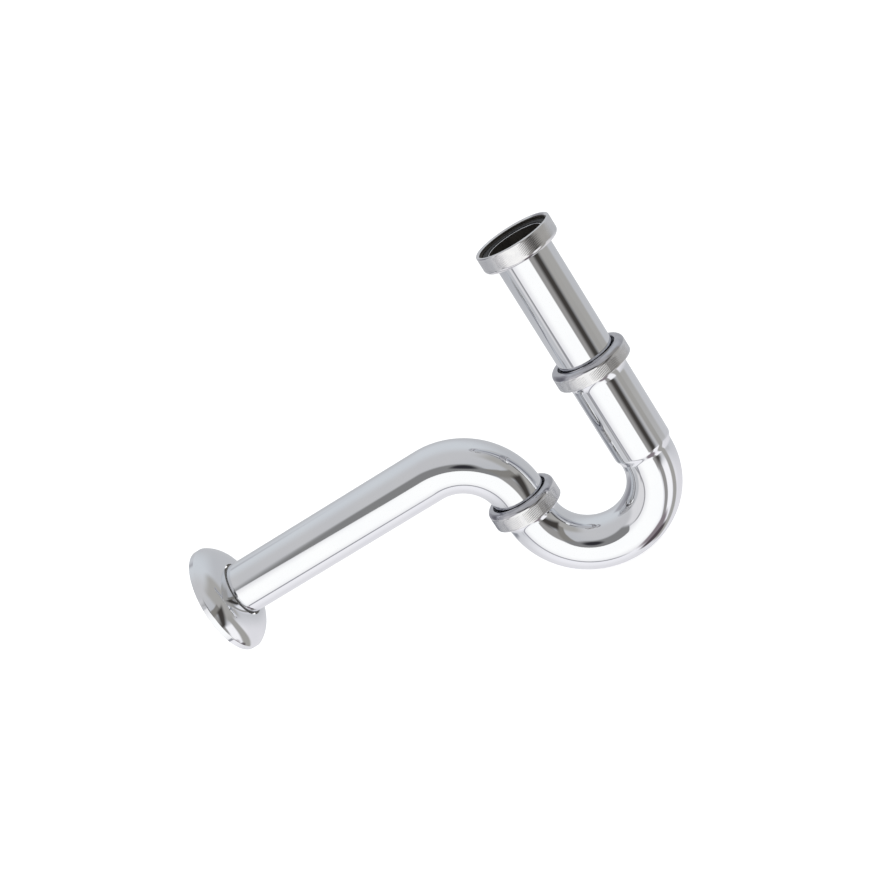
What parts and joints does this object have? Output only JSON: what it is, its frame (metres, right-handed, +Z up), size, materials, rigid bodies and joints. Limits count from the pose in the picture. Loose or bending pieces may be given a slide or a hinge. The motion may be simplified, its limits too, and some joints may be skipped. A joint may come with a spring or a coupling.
{
  "type": "basin trap",
  "caption": "Chrome-plated tubular P-trap for a wash basin, with a coupling nut, a sliding inlet tube, a U-bend, a swivelling wall tube and a domed wall rosette.",
  "frame": {"origin": "on the inlet axis, at the top face of the inlet washer, where the basin waste seats", "axes": "+Z up along the inlet axis, +X from the wall towards the trap"},
  "size_m": [0.2958, 0.0674, 0.2022],
  "materials": {
    "polished_chrome": "mirror-polished",
    "nut_chrome": "bright, with a fine upright knurl on the band",
    "ferrule_chrome": "turned, plated with the tube",
    "black_rubber": "matt",
    "ring_plastic": "satin"
  },
  "bodies": {
    "bend": {"trap_bend": "polished_chrome", "inlet_ferrule": "ferrule_chrome", "outlet_ferrule": "ferrule_chrome", "inlet_slip_seal": "black_rubber", "outlet_washer": "black_rubber"},
    "inlet_tube": {"inlet_tube": "polished_chrome", "inlet_washer": "black_rubber"},
    "inlet_nut": {"inlet_nut": "nut_chrome"},
    "inlet_slip_ring": {"inlet_slip_ring": "ring_plastic"},
    "inlet_slip_nut": {"inlet_slip_nut": "nut_chrome"},
    "wall_tube": {"wall_tube": "polished_chrome"},
    "outlet_ring": {"outlet_ring": "ring_plastic"},
    "outlet_nut": {"outlet_nut": "nut_chrome"},
    "rosette": {"wall_rosette": "polished_chrome"}
  },
  "joints": [
    {"name": "inlet_height", "type": "slide", "parent": "bend", "child": "inlet_tube", "axis": [0, 0, 1], "range_m": [-0.015, 0.025]},
    {"name": "inlet_nut_spin", "type": "hinge", "parent": "inlet_tube", "child": "inlet_nut", "pos_m": [0, 0, 0], "axis": [0, 0, 1], "continuous": true},
    {"name": "inlet_slip_ring_lift", "type": "slide", "parent": "bend", "child": "inlet_slip_ring", "axis": [0, 0, 1], "range_m": [0, 0.00463]},
    {"name": "inlet_slip_nut_turn", "type": "hinge", "parent": "inlet_slip_ring", "child": "inlet_slip_nut", "pos_m": [0, 0, 0], "axis": [0, 0, 1], "range_deg": [0, 720]},
    {"name": "wall_swivel", "type": "hinge", "parent": "bend", "child": "wall_tube", "pos_m": [-0.076, 0, -0.132], "axis": [0, 0, 1], "range_deg": [-120, 120]},
    {"name": "outlet_ring_lift", "type": "slide", "parent": "bend", "child": "outlet_ring", "axis": [0, 0, 1], "range_m": [0, 0.00463]},
    {"name": "outlet_nut_turn", "type": "hinge", "parent": "outlet_ring", "child": "outlet_nut", "pos_m": [-0.076, 0, -0.132], "axis": [0, 0, 1], "range_deg": [0, 720]},
    {"name": "rosette_slide", "type": "slide", "parent": "wall_tube", "child": "rosette", "axis": [0.999, 0, 0.0436], "range_m": [-0.006, 0.11]}
  ],
  "couplings": [
    {"joint": "inlet_slip_ring_lift", "follows": "inlet_slip_nut_turn", "m_per_rad": 0.00036749},
    {"joint": "outlet_ring_lift", "follows": "outlet_nut_turn", "m_per_rad": 0.00036749}
  ]
}
